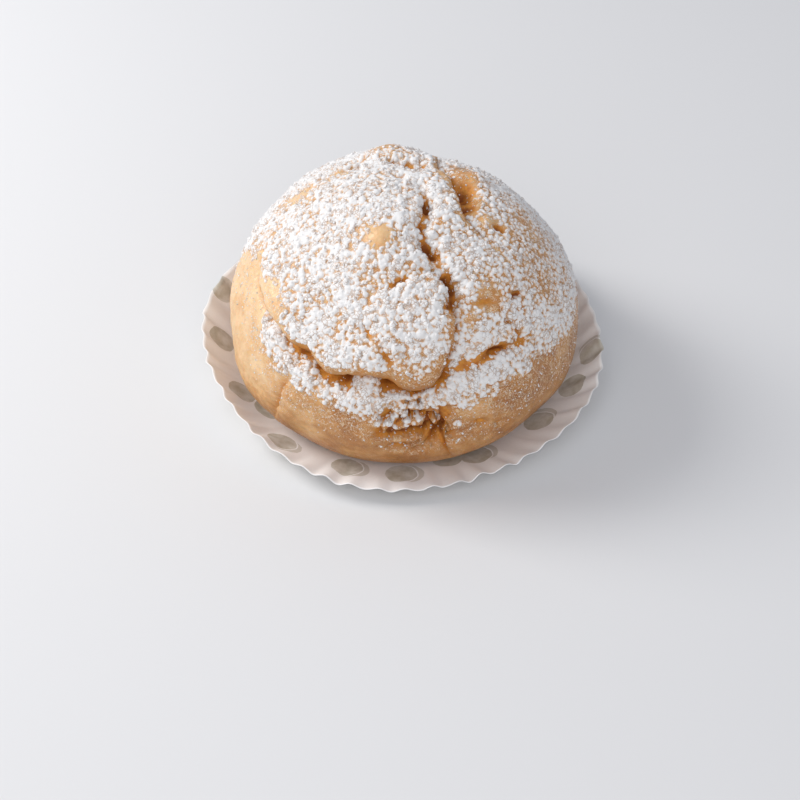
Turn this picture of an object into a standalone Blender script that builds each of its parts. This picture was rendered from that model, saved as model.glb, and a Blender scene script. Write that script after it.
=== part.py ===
# A cream puff in its fluted paper case.
#
# Metres, +Z up. The origin is the middle of the case's underside, where the part rests. The puff's front is
# -Y and its right is +X. A place on the crust is written as (azimuth, elevation) in degrees, seen from the
# middle of the puff's widest ring: azimuth 0 is the front, 90 the right and 180 the back, elevation 90 the top.
import math

import bmesh
import bpy
import numpy as np
from mathutils import Vector, noise

COLLECTION_NAME = "cream_puff"

# Paper case
PAPER_THICKNESS = 0.00035
CASE_FLOOR_RADIUS = 0.0345
CASE_RIM_RADIUS = 0.0524
CASE_RIM_WAVES = ((3, -0.0008, 0.0005), (4, -0.0001, 0.0010))  # round the rim: cosine and sine parts
CASE_RIM_HEIGHT = 0.0108
CASE_RIM_RISE_RIGHT = -0.009  # the rim leans: metres of height for each metre towards +X
CASE_RIM_RISE_BACK = 0.045  # and for each metre towards +Y
CASE_FRONT_DRAW = 0.0036  # the rim is pressed flat at the front: nearer to the middle
CASE_FRONT_DROP = 0.0046  # and lower
CASE_FRONT_STRAIGHTENING = 0.8  # taken off the wall's curve there
CASE_FRONT_SHARPNESS = 3
CASE_WALL_CURVE = 2.0  # 1 is a straight wall, more starts flatter
FLUTES = 48
FLUTE_SWING = 0.0005  # how far a flute stands to each side of the wall at the rim
FLUTE_FADE = 2.0  # how soon the flutes die out towards the floor
FLUTE_DRIFT = 1.2  # how unevenly they're spaced, in radians
FLUTE_POINTS = 4
WALL_RINGS = 3

# Puff: a dome over a fatter ring, on a flat spot
REST_GAP = 0.0003  # between the puff and the paper under it
PUFF_RADIUS = 0.045
PUFF_EQUATOR = 0.018  # height of the widest ring above the puff's base
PUFF_RISE = 0.0417  # from the widest ring up to the top
PUFF_SINK = 0.032  # how deep the round underside would reach if it had no flat spot
BASE_ROUNDING = 0.003
BASE_FLATTENING = 0.0004
LUMP_HEIGHT = 0.0013  # uneven rise of the crust
LUMP_PITCH = 2.2  # lumps across a radius
PLAIN_BELOW = -0.62  # sine of the elevation under which the crust is plain, where it sits in the case
PLAIN_FADE = 0.3

# Mesh
SPHERE_SUBDIVISIONS = 5
FRONT_FOCUS = Vector((0.0, -0.1, 0.2))  # moves points of the sphere towards the upper front
REFINE_REACH = 5.0  # degrees from a deep crack within which faces are split once more
SNAP_REACH = 0.6  # degrees from an edge's path within which points are drawn onto it
PATH_STEPS = 6  # pieces of smooth path between two hand-set places
ON_PATH = 0.001  # radians
MM = 0.001

# Cracks and edges of the crust, each a few places joined by a smooth path. On a path that goes to the right
# along the front, the plate that stands over the crack is above it.
CAP_EDGE = [(-84, 41), (-67, 33), (-50, 27.5), (-37, 23.5), (-23, 21.8), (-9, 22.2), (2, 19.2),
            (9, 22), (14, 30.5), (17.5, 42.5), (20.5, 54)]
CROWN_CRACK = [(23, 52), (20, 60), (14.7, 69.4), (23, 77.5), (88, 86), (-160, 80)]
HOLLOW = [(60, 55), (58.5, 61), (63, 67), (79, 71.6), (113, 74), (135, 73), (152, 67), (159, 58),
          (162, 48), (164, 38)]
CAP_FOLD = [(-30, 53), (-19, 51.2), (-7, 52.4), (3, 56), (15, 58.4)]
FRONT_STEP = [(-38, 14), (-41, 5), (-44, -7), (-52, -24)]
TORN_EDGE = [(9, 11), (13.5, 4), (14.5, -6), (17, -24)]
BACK_EDGE = [(128, 27), (150, 31), (172, 25), (-165, 22), (-141, 27), (-118, 25), (-96, 29)]
BACK_SPLIT = [(-172, 20), (-168, 4), (-173, -14)]
# Plates end along an edge: the rise in mm and its reach in degrees, the drop beyond and its width, the overhang,
# and the shares of the edge over which it sets in and dies out.
PLATES = [
    (CAP_EDGE, 1.5, 11, 2.9, 4.5, 1.7, 0.3, 0.25),
    (FRONT_STEP, 1.1, 9, 0.7, 4.0, 0.4, 0.3, 0.5),
    (TORN_EDGE, 0.9, 6, 1.9, 5.0, 0.4, 0.4, 0.3),
    (BACK_EDGE, 1.0, 9, 2.2, 4.0, 1.2, 0.3, 0.3),
]
# Grooves: depth in mm, width in degrees, and the same two shares.
GROOVES = [
    (CROWN_CRACK, 2.1, 3.0, 0.1, 0.3),
    (HOLLOW, 2.0, 4.5, 0.2, 0.2),
    (CAP_FOLD, 0.9, 3.5, 0.3, 0.3),
    (BACK_SPLIT, 1.5, 4.0, 0.3, 0.5),
]
# Mounds and, below zero, dents: azimuth, elevation, height in mm and width in degrees.
MOUNDS = [
    (104, 69.6, -3.6, 4.5),
    (8, 0, -1.3, 9),
    (-172, 66, 1.3, 8),
    (-18, 67, 0.9, 5),
    (-5, 38, 0.9, 13),
    (60, 40, 0.7, 22),
    (122, 54, -1.2, 16),
    (104, 34, -1.1, 20),
    (-112, 32, -0.8, 14),
    (166, 50, -2.4, 9),
    (148, 37, -1.5, 12),
    (132, 30, -0.8, 10),
]
DEEP_CRACKS = [CAP_EDGE[1:], CROWN_CRACK[:4], HOLLOW[1:5], TORN_EDGE]


def bearing(azimuth, elevation):
    a = math.radians(azimuth)
    e = math.radians(elevation)
    return np.array([math.sin(a) * math.cos(e), -math.cos(a) * math.cos(e), math.sin(e)])


def smooth_path(places):
    """Directions along a Catmull-Rom curve through the places."""
    knots = [bearing(*place) for place in places]
    knots = [2 * knots[0] - knots[1]] + knots + [2 * knots[-1] - knots[-2]]
    path = []
    for before, start, end, after in zip(knots, knots[1:], knots[2:], knots[3:]):
        for step in range(PATH_STEPS):
            t = step / PATH_STEPS
            point = 0.5 * (2 * start + (end - before) * t
                           + (2 * before - 5 * start + 4 * end - after) * t ** 2
                           + (3 * start - before - 3 * end + after) * t ** 3)
            path.append(point / np.linalg.norm(point))
    path.append(knots[-2])
    return path


def measure(dirs, places):
    """Degrees from each direction to the path, signed by its side, how far along it is and the way across.

    Points drawn onto the path count as the negative side.
    """
    path = smooth_path(places)
    gap = np.full(len(dirs), 9.0)
    side = np.ones(len(dirs))
    along = np.zeros(len(dirs))
    across = np.zeros((len(dirs), 3))
    for index, (start, end) in enumerate(zip(path, path[1:])):
        step = end - start
        t = np.clip((dirs - start) @ step / (step @ step), 0.0, 1.0)
        distance = np.linalg.norm(dirs - start - t[:, None] * step, axis=1)
        nearer = distance < gap
        normal = np.cross(end, start)
        normal /= np.linalg.norm(normal)
        gap[nearer] = distance[nearer]
        side[nearer] = np.where(dirs[nearer] @ normal > ON_PATH, 1.0, -1.0)
        along[nearer] = (index + t[nearer]) / (len(path) - 1)
        across[nearer] = normal
    return np.degrees(gap) * side, along, across


def draw_onto(dirs, places):
    """Moves the directions that lie close beside the path onto it, so that an edge along it is clean."""
    path = smooth_path(places)
    for start, end in zip(path, path[1:]):
        step = end - start
        t = (dirs - start) @ step / (step @ step)
        foot = start + t[:, None] * step
        close = np.linalg.norm(dirs - foot, axis=1) < math.radians(SNAP_REACH)
        close &= (t >= 0) & (t < 1)
        dirs[close] = foot[close] / np.linalg.norm(foot[close], axis=1)[:, None]
    return dirs


def fade_ends(along, start, end):
    """1 along a path, falling to 0 over these shares of it at its two ends."""
    rise = np.clip(along / max(start, 1e-6), 0, 1)
    fall = np.clip((1 - along) / max(end, 1e-6), 0, 1)
    return np.minimum(rise, fall) ** 0.7


def bump(distance, width):
    return np.exp(-(distance / width) ** 2)


def groove(dirs, places, depth, width, start=0.15, end=0.15):
    signed, along, _ = measure(dirs, places)
    return -depth * bump(signed, width) * fade_ends(along, start, end)


def plate_edge(dirs, places, rise, reach, depth, width, overhang, start=0.15, end=0.15):
    """A plate of crust that ends in a raised lip over a groove. The plate is on the path's negative side."""
    signed, along, across = measure(dirs, places)
    strength = fade_ends(along, start, end)
    on_plate = signed < 0
    offset = np.where(on_plate, rise * bump(signed, reach), -depth * bump(signed, width)) * strength
    push = np.where(on_plate, overhang * bump(signed, width), 0.0) * strength
    return offset, across * push[:, None]


def mound(dirs, azimuth, elevation, height, width):
    angle = np.degrees(np.arccos(np.clip(dirs @ bearing(azimuth, elevation), -1, 1)))
    return height * bump(angle, width)


def lumps(dirs, pitch, height):
    return np.array([height * noise.noise(Vector(d) * pitch) for d in dirs])


def crust_offsets(dirs):
    """How far the crust stands out from the plain dome, and its sideways push, for each direction."""
    offset = np.zeros(len(dirs))
    push = np.zeros((len(dirs), 3))
    for edge, rise, reach, drop, width, overhang, start, end in PLATES:
        plate, plate_push = plate_edge(dirs, edge, rise * MM, reach, drop * MM, width, overhang * MM, start, end)
        offset += plate
        push += plate_push
    for path, depth, width, start, end in GROOVES:
        offset += groove(dirs, path, depth * MM, width, start, end)
    for azimuth, elevation, height, width in MOUNDS:
        offset += mound(dirs, azimuth, elevation, height * MM, width)
    offset += lumps(dirs, LUMP_PITCH, LUMP_HEIGHT)
    fade = np.clip((dirs[:, 2] - PLAIN_BELOW) / PLAIN_FADE, 0, 1)
    return offset * fade, push * fade[:, None]


def rounded_floor(height):
    """Presses heights below the base onto it, with a soft corner."""
    soft = 0.5 * (height + np.sqrt(height ** 2 + BASE_ROUNDING ** 2)) - BASE_FLATTENING
    return np.maximum(soft, 0.0)


def crust_points(dirs):
    offset, push = crust_offsets(dirs)
    reach = np.where(dirs[:, 2] > 0, PUFF_RISE, PUFF_SINK)
    points = np.column_stack([PUFF_RADIUS * dirs[:, 0], PUFF_RADIUS * dirs[:, 1], reach * dirs[:, 2]])
    points += dirs * offset[:, None] + push
    points[:, 2] = rounded_floor(points[:, 2] + PUFF_EQUATOR)
    return points


def directions(bm):
    return np.array([vert.co.normalized() for vert in bm.verts])


def make_puff():
    bm = bmesh.new()
    bmesh.ops.create_icosphere(bm, subdivisions=SPHERE_SUBDIVISIONS, radius=1.0)
    for vert in bm.verts:
        vert.co = (vert.co + FRONT_FOCUS).normalized()
    nearest = np.min([np.abs(measure(directions(bm), path)[0]) for path in DEEP_CRACKS], axis=0)
    bm.verts.index_update()
    fine_edges = [edge for edge in bm.edges if max(nearest[vert.index] for vert in edge.verts) < REFINE_REACH]
    bmesh.ops.subdivide_edges(bm, edges=fine_edges, cuts=1, use_grid_fill=True)
    bmesh.ops.triangulate(bm, faces=bm.faces)
    dirs = directions(bm)
    for path, *_ in PLATES:
        dirs = draw_onto(dirs, path)
    points = crust_points(dirs)
    lift = PAPER_THICKNESS + REST_GAP
    for vert, point in zip(bm.verts, points):
        vert.co = Vector(point) + Vector((0, 0, lift))
    return finish_object("puff", bm, crust_material())


def wall_point(turn, share):
    """A place on the case's wall: turn is the angle round it, share is 0 at the floor and 1 at the rim."""
    front = max(0.0, -math.cos(turn)) ** CASE_FRONT_SHARPNESS
    rim_radius = CASE_RIM_RADIUS - CASE_FRONT_DRAW * front
    for order, cosine, sine in CASE_RIM_WAVES:
        rim_radius += cosine * math.cos(order * turn) + sine * math.sin(order * turn)
    rim_height = CASE_RIM_HEIGHT - CASE_FRONT_DROP * front
    rim_height += CASE_RIM_RADIUS * (CASE_RIM_RISE_RIGHT * math.sin(turn) + CASE_RIM_RISE_BACK * math.cos(turn))
    curve = CASE_WALL_CURVE - CASE_FRONT_STRAIGHTENING * front
    span = rim_radius - CASE_FLOOR_RADIUS
    slope = math.atan2(curve * rim_height * share ** (curve - 1), span)
    unevenness = noise.noise(Vector((3 * math.sin(turn), 3 * math.cos(turn), 0.7)))
    swing = FLUTE_SWING * share ** FLUTE_FADE * math.cos(FLUTES * turn + FLUTE_DRIFT * unevenness)
    radius = CASE_FLOOR_RADIUS + span * share - swing * math.sin(slope)
    height = rim_height * share ** curve + swing * math.cos(slope)
    return Vector((radius * math.sin(turn), radius * math.cos(turn), height))


def make_paper_case():
    around = FLUTES * FLUTE_POINTS
    bm = bmesh.new()
    bmesh.ops.create_circle(bm, cap_ends=True, segments=around, radius=CASE_FLOOR_RADIUS)
    edges = [edge for edge in bm.edges if edge.is_boundary]
    for level in range(1, WALL_RINGS + 1):
        grown = bmesh.ops.extrude_edge_only(bm, edges=edges)["geom"]
        ring = [item for item in grown if isinstance(item, bmesh.types.BMVert)]
        edges = [item for item in grown if isinstance(item, bmesh.types.BMEdge) and item.is_boundary]
        for vert in ring:
            vert.co = wall_point(math.atan2(vert.co.x, vert.co.y), level / WALL_RINGS)
    bmesh.ops.recalc_face_normals(bm, faces=bm.faces)
    if max(bm.faces, key=lambda face: face.calc_area()).normal.z < 0:
        bmesh.ops.reverse_faces(bm, faces=bm.faces)
    case = finish_object("paper_case", bm, paper_material())
    wall = case.modifiers.new("paper thickness", "SOLIDIFY")
    wall.thickness = PAPER_THICKNESS
    wall.offset = 1.0
    return case


def finish_object(name, bm, material):
    mesh = bpy.data.meshes.new(name)
    bm.to_mesh(mesh)
    bm.free()
    mesh.shade_smooth()
    mesh.materials.append(material)
    obj = bpy.data.objects.new(name, mesh)
    part_collection().objects.link(obj)
    return obj


def part_collection():
    collection = bpy.data.collections.get(COLLECTION_NAME)
    if collection is None:
        collection = bpy.data.collections.new(COLLECTION_NAME)
        bpy.context.scene.collection.children.link(collection)
    return collection


def plain_material(name, color, roughness):
    material = bpy.data.materials.new(name)
    material.use_nodes = True
    shader = material.node_tree.nodes["Principled BSDF"]
    shader.inputs["Base Color"].default_value = (*color, 1.0)
    shader.inputs["Roughness"].default_value = roughness
    shader.inputs["Metallic"].default_value = 0.0
    return material


def crust_material():
    return plain_material("baked crust", (0.62, 0.36, 0.16), 0.55)


def paper_material():
    return plain_material("white paper", (0.78, 0.74, 0.70), 0.8)


def clear_scene():
    for obj in list(bpy.data.objects):
        bpy.data.objects.remove(obj, do_unlink=True)


def main():
    clear_scene()
    make_paper_case()
    make_puff()


main()
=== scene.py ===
import math
import time

import bmesh
import bpy
import numpy as np
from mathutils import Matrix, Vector, kdtree, noise


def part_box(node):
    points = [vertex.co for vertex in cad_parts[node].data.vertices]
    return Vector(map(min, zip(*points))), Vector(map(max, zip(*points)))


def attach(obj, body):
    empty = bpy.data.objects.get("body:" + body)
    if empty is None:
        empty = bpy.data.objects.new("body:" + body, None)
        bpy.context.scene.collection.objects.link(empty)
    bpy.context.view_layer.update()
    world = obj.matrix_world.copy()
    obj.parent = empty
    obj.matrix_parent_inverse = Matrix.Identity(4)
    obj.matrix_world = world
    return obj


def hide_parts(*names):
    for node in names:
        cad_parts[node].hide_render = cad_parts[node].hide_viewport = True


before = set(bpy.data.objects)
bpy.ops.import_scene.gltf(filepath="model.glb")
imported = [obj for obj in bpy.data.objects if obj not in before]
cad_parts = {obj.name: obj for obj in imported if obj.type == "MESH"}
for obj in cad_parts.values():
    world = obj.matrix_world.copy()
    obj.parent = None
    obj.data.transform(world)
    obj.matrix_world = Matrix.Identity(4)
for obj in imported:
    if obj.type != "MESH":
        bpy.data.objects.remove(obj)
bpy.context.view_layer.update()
mm = 0.001
startTime = time.time()
noise.seed_set(1)  # without this, noise vectors change with the clock


def say(text):
    print(f"[{time.time() - startTime:5.1f} s] {text}")


# shader maths written as plain expressions
class Wire:
    def __init__(self, tree, socket):
        self.tree = tree
        self.socket = socket

    def make(self, kind, settings=None, inputs=None, output=0):
        node = self.tree.nodes.new(kind)
        for name, value in (settings or {}).items():
            if name == "stops":
                setStops(node.color_ramp, value)
            else:
                setattr(node, name, value)
        for name, value in (inputs or {}).items():
            if isinstance(value, Wire):
                self.tree.links.new(value.socket, node.inputs[name])
            else:
                node.inputs[name].default_value = value
        return Wire(self.tree, node.outputs[output])

    def sum(self, operation, *values, clamp=False):
        settings = {"operation": operation, "use_clamp": clamp}
        return self.make("ShaderNodeMath", settings, dict(enumerate(values)))

    def __add__(self, other):
        return self.sum("ADD", self, other)

    def __sub__(self, other):
        return self.sum("SUBTRACT", self, other)

    def __rsub__(self, other):
        return self.sum("SUBTRACT", other, self)

    def __mul__(self, other):
        return self.sum("MULTIPLY", self, other)

    __radd__ = __add__
    __rmul__ = __mul__

    def clamped(self):
        return self.sum("ADD", self, 0.0, clamp=True)

    def step(self, low, high):
        return self.make("ShaderNodeMapRange", {"interpolation_type": "SMOOTHSTEP"},
                         {"Value": self, "From Min": low, "From Max": high})


def setStops(ramp, stops):
    while len(ramp.elements) < len(stops):
        ramp.elements.new(0.5)
    for element, (place, color) in zip(ramp.elements, stops):
        element.position = place
        element.color = (*color, 1.0)


def newMaterial(name):
    material = bpy.data.materials.new(name)
    material.use_nodes = True
    tree = material.node_tree
    shader = tree.nodes["Principled BSDF"]
    return material, Wire(tree, None), shader


def setShader(shader, wires=None, **values):
    for name, value in values.items():
        shader.inputs[name].default_value = value
    for name, wire in (wires or {}).items():
        wire.tree.links.new(wire.socket, shader.inputs[name])


def blendColors(graph, factor, first, second):
    def asColor(value):
        return value if isinstance(value, Wire) else (*value, 1.0)

    return graph.make("ShaderNodeMix", {"data_type": "RGBA"},
                      {"Factor": factor, 6: asColor(first), 7: asColor(second)}, 2)


def grain(graph, place, size, detail=3.0, roughness=0.55, distortion=0.0):
    return graph.make("ShaderNodeTexNoise", None,
                      {"Vector": place, "Scale": 1.0 / size, "Detail": detail, "Roughness": roughness,
                       "Distortion": distortion})


def colorRamp(graph, stops, factor):
    return graph.make("ShaderNodeValToRGB", {"stops": stops}, {"Fac": factor})


def reliefFrom(graph, height, strength, distance):
    inputs = {"Strength": strength, "Distance": distance, "Height": height}
    return graph.make("ShaderNodeBump", None, inputs)


# the place with a small uneven push, so that straight seams bend
def bendPlace(graph, place, size, amount):
    inputs = {"Vector": place, "Scale": 1 / size, "Detail": 2.0}
    push = graph.make("ShaderNodeTexNoise", None, inputs, 1)
    push = graph.make("ShaderNodeVectorMath", {"operation": "SCALE"}, {0: push, "Scale": amount})
    return graph.make("ShaderNodeVectorMath", {"operation": "ADD"}, {0: place, 1: push})


def objectPlace(graph):
    return graph.make("ShaderNodeTexCoord", None, None, 3)


def paint(graph, name):
    return graph.make("ShaderNodeAttribute", {"attribute_name": name}, None, 2)


def addPiece(name, mesh, material, replaced=None):
    mesh.materials.clear()
    mesh.materials.append(material)
    piece = bpy.data.objects.new(name, mesh)
    bpy.context.scene.collection.objects.link(piece)
    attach(piece, "root")
    if replaced:
        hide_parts(replaced)
    return piece


# places on the crust: degrees seen from the middle of the widest ring, 0 at the front, 90 to the right
def bearing(azimuth, elevation):
    a = math.radians(azimuth)
    e = math.radians(elevation)
    return np.array([math.sin(a) * math.cos(e), -math.cos(a) * math.cos(e), math.sin(e)])


def unevenPush(point, coarsePitch=7, finePitch=19):
    coarse = np.array(noise.noise_vector(Vector(point) * coarsePitch))
    fine = np.array(noise.noise_vector(Vector(point) * finePitch))
    return coarse + 0.5 * fine


# a curve through the places, bent a little at random
def smoothPath(places, wander, steps=12):
    knots = [bearing(*place) for place in places]
    knots = [2 * knots[0] - knots[1]] + knots + [2 * knots[-1] - knots[-2]]
    path = []
    for before, start, end, after in zip(knots, knots[1:], knots[2:], knots[3:]):
        for step in range(steps):
            t = step / steps
            bow = 2 * before - 5 * start + 4 * end - after
            twist = 3 * start - before - 3 * end + after
            path.append(0.5 * (2 * start + (end - before) * t + bow * t ** 2 + twist * t ** 3))
    path.append(knots[-2])
    path = [p + wander * unevenPush(p) for p in path]
    return [p / np.linalg.norm(p) for p in path]


# degrees to the path, negative on its plate side; the share of the path passed; the way across it
def measure(dirs, path):
    farAway = 9.0
    onPath = 0.0005
    nearCosine = 0.8  # points beyond this are too far from a step to matter
    gap = np.full(len(dirs), farAway)
    side = np.ones(len(dirs))
    along = np.zeros(len(dirs))
    across = np.zeros((len(dirs), 3))
    for index, (start, end) in enumerate(zip(path, path[1:])):
        step = end - start
        near = np.flatnonzero(dirs @ start > nearCosine)
        some = dirs[near]
        t = np.clip((some - start) @ step / (step @ step), 0.0, 1.0)
        distance = np.linalg.norm(some - start - t[:, None] * step, axis=1)
        closer = distance < gap[near]
        pick = near[closer]
        normal = np.cross(end, start)
        normal /= np.linalg.norm(normal)
        gap[pick] = distance[closer]
        side[pick] = np.where(some[closer] @ normal > onPath, 1.0, -1.0)
        along[pick] = (index + t[closer]) / (len(path) - 1)
        across[pick] = normal
    return np.degrees(gap) * side, along, across


def drawOnto(dirs, path, reach):  # lays the points beside a path onto it, for a clean edge
    for start, end in zip(path, path[1:]):
        step = end - start
        t = (dirs - start) @ step / (step @ step)
        foot = start + t[:, None] * step
        close = (np.linalg.norm(dirs - foot, axis=1) < math.radians(reach)) & (t >= 0) & (t < 1)
        dirs[close] = foot[close] / np.linalg.norm(foot[close], axis=1)[:, None]


def fadeEnds(along, start, end):
    return np.minimum(np.clip(along / start, 0, 1), np.clip((1 - along) / end, 0, 1)) ** 0.7


def bump(distance, width):
    return np.exp(-(distance / width) ** 2)


def ramp(values, low, high):
    t = np.clip((values - low) / (high - low), 0, 1)
    return t * t * (3 - 2 * t)


def angleTo(dirs, azimuth, elevation):
    return np.degrees(np.arccos(np.clip(dirs @ bearing(azimuth, elevation), -1, 1)))


def noiseAt(points, pitch, seed=0.0):
    shift = Vector((seed, -seed, 0.5 * seed))
    return np.array([noise.noise(Vector(p) * pitch + shift) for p in points])


crustSettings = {
    "cuts": 127,  # faces along each side of the starting block
    "focus": (0.0, -0.1, 0.22),  # crowds the faces towards the upper front
    "wander": 0.012,  # how ragged the torn edges are
    "snap": 0.22,  # degrees
    "equator": 18.0,  # millimetres above the base, as are all heights here
    "rise": 41.7,
    "sink": 32.0,
    "baseRounding": 3.0,
    "baseFlattening": 0.4,
    "sugarRoom": 0.35,  # how much the crust sinks under its sugar
    "sugarRoomFade": (0.0, 0.35),
    "lumpHeight": 1.3,
    "lumpPitch": 2.2,
    "plainBelow": -0.62,  # the underside has no cracks or lumps
    "plainFade": 0.3,
    "fullCrack": 1.6,  # a crack this deep shows bare crumb
    "caveDepth": -1.45,  # and so does a dent that is deeper than this
    "caveWidth": 5.0,  # and narrower than this
    "caveSpread": 1.1,
    # unevenness of lips, cracks' depth and cracks' width: middle, swing, pitch, seed, lowest, highest
    "unevenEdge": (0.85, 0.9, 6.0, 4.0, 0.4, 1.3),
    "unevenDepth": (0.8, 1.3, 11.0, 2.0, 0.1, 1.5),
    "unevenWidth": (1.0, 1.1, 14.0, 6.0, 0.5, 1.7),
    # plate edges: the plate is on the left of the path; start and end are the shares that fade
    "plates": [
        {"name": "cap edge", "rise": 2.3, "reach": 11, "curl": 1.2, "depth": 5.0, "width": 5.0,
         "overhang": 0.9, "start": 0.12, "end": 0.2, "places": [
             (-84, 41), (-74, 35.5), (-64, 33), (-55, 30.5), (-46, 28), (-38, 25), (-31, 24.2), (-24, 21.6),
             (-17, 22.6), (-9, 23.4), (-3, 21.2), (3, 18.8), (8, 20.2), (12, 24.5), (15.5, 30.5), (19, 37),
             (19.5, 44), (20.5, 54)]},
        {"name": "front step", "rise": 1.2, "reach": 9, "curl": 0.5, "depth": 0.8, "width": 4.0,
         "overhang": 0.4, "start": 0.3, "end": 0.4, "places": [
             (-38, 14), (-41, 5), (-44, -7), (-52, -24)]},
        {"name": "torn edge", "rise": 1.6, "reach": 6, "curl": 0.5, "depth": 3.0, "width": 3.8,
         "overhang": 0.9, "start": 0.3, "end": 0.3, "places": [
             (9, 11), (13.5, 4), (14.5, -6), (17, -24)]},
        {"name": "hollow", "rise": 0.9, "reach": 8, "curl": 0.5, "depth": 2.8, "width": 2.8,
         "overhang": 0.4, "start": 0.25, "end": 0.15, "places": [
             (60, 50), (57, 58), (59, 65.5), (66, 69.6), (79, 72.2), (93, 73.6), (113, 74.4), (135, 73),
             (152, 67), (159, 58), (162, 48), (164, 38)]},
        {"name": "back edge", "rise": 1.4, "reach": 9, "curl": 0.8, "depth": 2.8, "width": 4.0,
         "overhang": 1.2, "start": 0.3, "end": 0.3, "places": [
             (128, 27), (150, 31), (172, 25), (-165, 22), (-141, 27), (-118, 25), (-96, 29)]},
    ],
    "curlReach": 1.5,
    "gapSpread": 1.05,
    "lipReach": 3.8,
    # grooves: places, depth, width, fade at start and end
    "grooves": [
        ("crown crack", [(20, 40), (24, 47), (22.5, 53.6), (20.1, 61.4), (17.8, 73.2), (50, 81), (88, 86),
                         (-160, 80)], 3.0, 2.4, 0.1, 0.3),
        ("cap fold", [(-30, 53), (-19, 51.2), (-7, 52.4), (3, 56), (15, 58.4)], 1.2, 2.6, 0.3, 0.3),
        ("back split", [(-172, 20), (-168, 4), (-173, -14)], 1.8, 3.0, 0.3, 0.5),
    ],
    "grooveWander": 0.7,
    "grooveOpening": 0.6,
    # mounds and dents: azimuth, elevation, height, width
    "mounds": [(104, 69.6, -3.8, 3.6), (8, 0, -1.3, 9), (-172, 66, 1.3, 8), (-18, 67, 0.9, 5),
               (-5, 38, 0.9, 13), (60, 40, 0.7, 22), (122, 54, -1.2, 16), (104, 34, -1.1, 20),
               (-112, 32, -0.8, 14), (166, 50, -2.4, 9), (148, 37, -1.5, 12), (132, 30, -0.8, 10)],
    # finer cracks, made only here
    "fineGrooves": [
        ("gash one", [(40.5, 34), (42, 31), (45.5, 25)], 1.7, 1.3, 0.3, 0.3),
        ("gash two", [(30, 26), (34, 25), (41, 23.4)], 1.7, 1.2, 0.3, 0.3),
        ("gash three", [(45, 39.6), (51, 38.2), (59, 35.8)], 1.2, 1.2, 0.3, 0.3),
        ("low crease", [(15, 4.8), (23.6, 1.1), (29.7, -1.7), (37.5, -4)], 0.9, 1.2, 0.15, 0.4),
        ("tongue fold", [(-19, 41), (-10.7, 34), (-5.6, 29), (-2.5, 23.5)], 1.1, 1.7, 0.3, 0.2),
        ("torn arc one", [(-5, 2), (2.4, 7.4), (11, 5.6)], 1.3, 1.5, 0.2, 0.2),
        ("torn arc two", [(-2, 12), (2, 13), (7, 12.6)], 1.0, 1.3, 0.2, 0.2),
        ("torn arc three", [(1.5, -3), (5, -1), (11, -3)], 1.2, 1.3, 0.2, 0.2),
        ("lobe seam", [(24, 48), (30, 43), (38, 41), (42, 35)], 0.9, 2.0, 0.2, 0.3),
        ("low waist", [(14, 22), (24, 24), (34, 25.5), (46, 22.5), (60, 25)], 0.9, 4.5, 0.2, 0.3),
        ("shoulder crack", [(-112, 52), (-120, 55), (-128, 64), (-140, 66)], 1.0, 1.8, 0.3, 0.3),
        ("knob seam", [(-125, 64), (-140, 67), (-165, 72), (170, 75), (150, 72)], 1.9, 2.6, 0.2, 0.2),
    ],
    "fineMounds": [(-36, 23.5, -3.8, 3.3), (-30, 20.5, -2.2, 2.6), (-20.5, 18.0, -4.2, 3.2),
                   (-5, 19.5, -3.6, 3.6), (4, 16.5, -2.6, 2.8),
                   (-166, 65, 1.4, 6), (-122, 60, 0.8, 6), (93, 70, -2.4, 2.8), (78, 69, -1.6, 2.8),
                   (70.5, 61.5, 1.0, 2.2), (71.6, 56.7, -1.7, 1.7), (118, 64, 1.6, 4.5),
                   (141, 70.5, -1.4, 2.6), (20.5, 62, -1.6, 2.4), (22, 53, -1.8, 2.4), (19, 44, -1.5, 2.2),
                   (10, -5.5, -2.6, 3.2), (4.5, -12, -1.3, 3.0), (-18.5, 67.6, 0.6, 3.6),
                   (-50, 31, 0.7, 6), (-30, 3, 0.5, 12), (40, 5, 0.5, 14), (95, 45, 0.5, 16)],
    "torn": (4, 1, 13),  # the torn place at the front: azimuth, elevation, width
    "tornFade": (0.2, 0.6),
    "tornDepth": 3.2,
    "tornPitch": 13.0,  # higher for smaller scraps
    "tornFinePitch": 2.6,
    "tornFineSwing": 0.4,
    "tornCut": (-0.1, 0.02),
    "blister": (-18.3, 68.0),  # the small round one near the top
    "blisterWidth": 5,
    "reliefHeights": (0.28, 0.15),
    "reliefPitches": (16.0, 42.0),
    "reliefBelow": -0.5,
    "reliefFade": 0.3,
    "reliefPlain": 0.7,
    "reliefInCracks": 1.6,
}


def onBlister(dirs):
    return bump(angleTo(dirs, *crustSettings["blister"]), crustSettings["blisterWidth"])


def uneven(dirs, middle, swing, pitch, seed, low, high):
    return np.clip(middle + swing * noiseAt(dirs, pitch, seed), low, high)


def plateEdge(dirs, path, plate, edge):
    cs = crustSettings
    signed, along, across = measure(dirs, path)
    strength = fadeEnds(along, plate["start"], plate["end"])
    onPlate = signed < 0
    beside = bump(signed, plate["width"])
    curl = plate["curl"] * np.exp(-np.abs(signed) / cs["curlReach"])
    raised = plate["rise"] * bump(signed, plate["reach"]) - curl
    offset = np.where(onPlate, raised, -plate["depth"] * beside * edge) * strength
    push = np.where(onPlate, plate["overhang"] * beside * edge, 0.0) * strength
    gaping = np.where(onPlate, 0.0, bump(signed, cs["gapSpread"] * plate["width"] * edge)) * strength
    lip = np.where(onPlate, bump(signed, cs["lipReach"] * edge), 0.0) * strength
    return offset, across * push[:, None], gaping, lip


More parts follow.
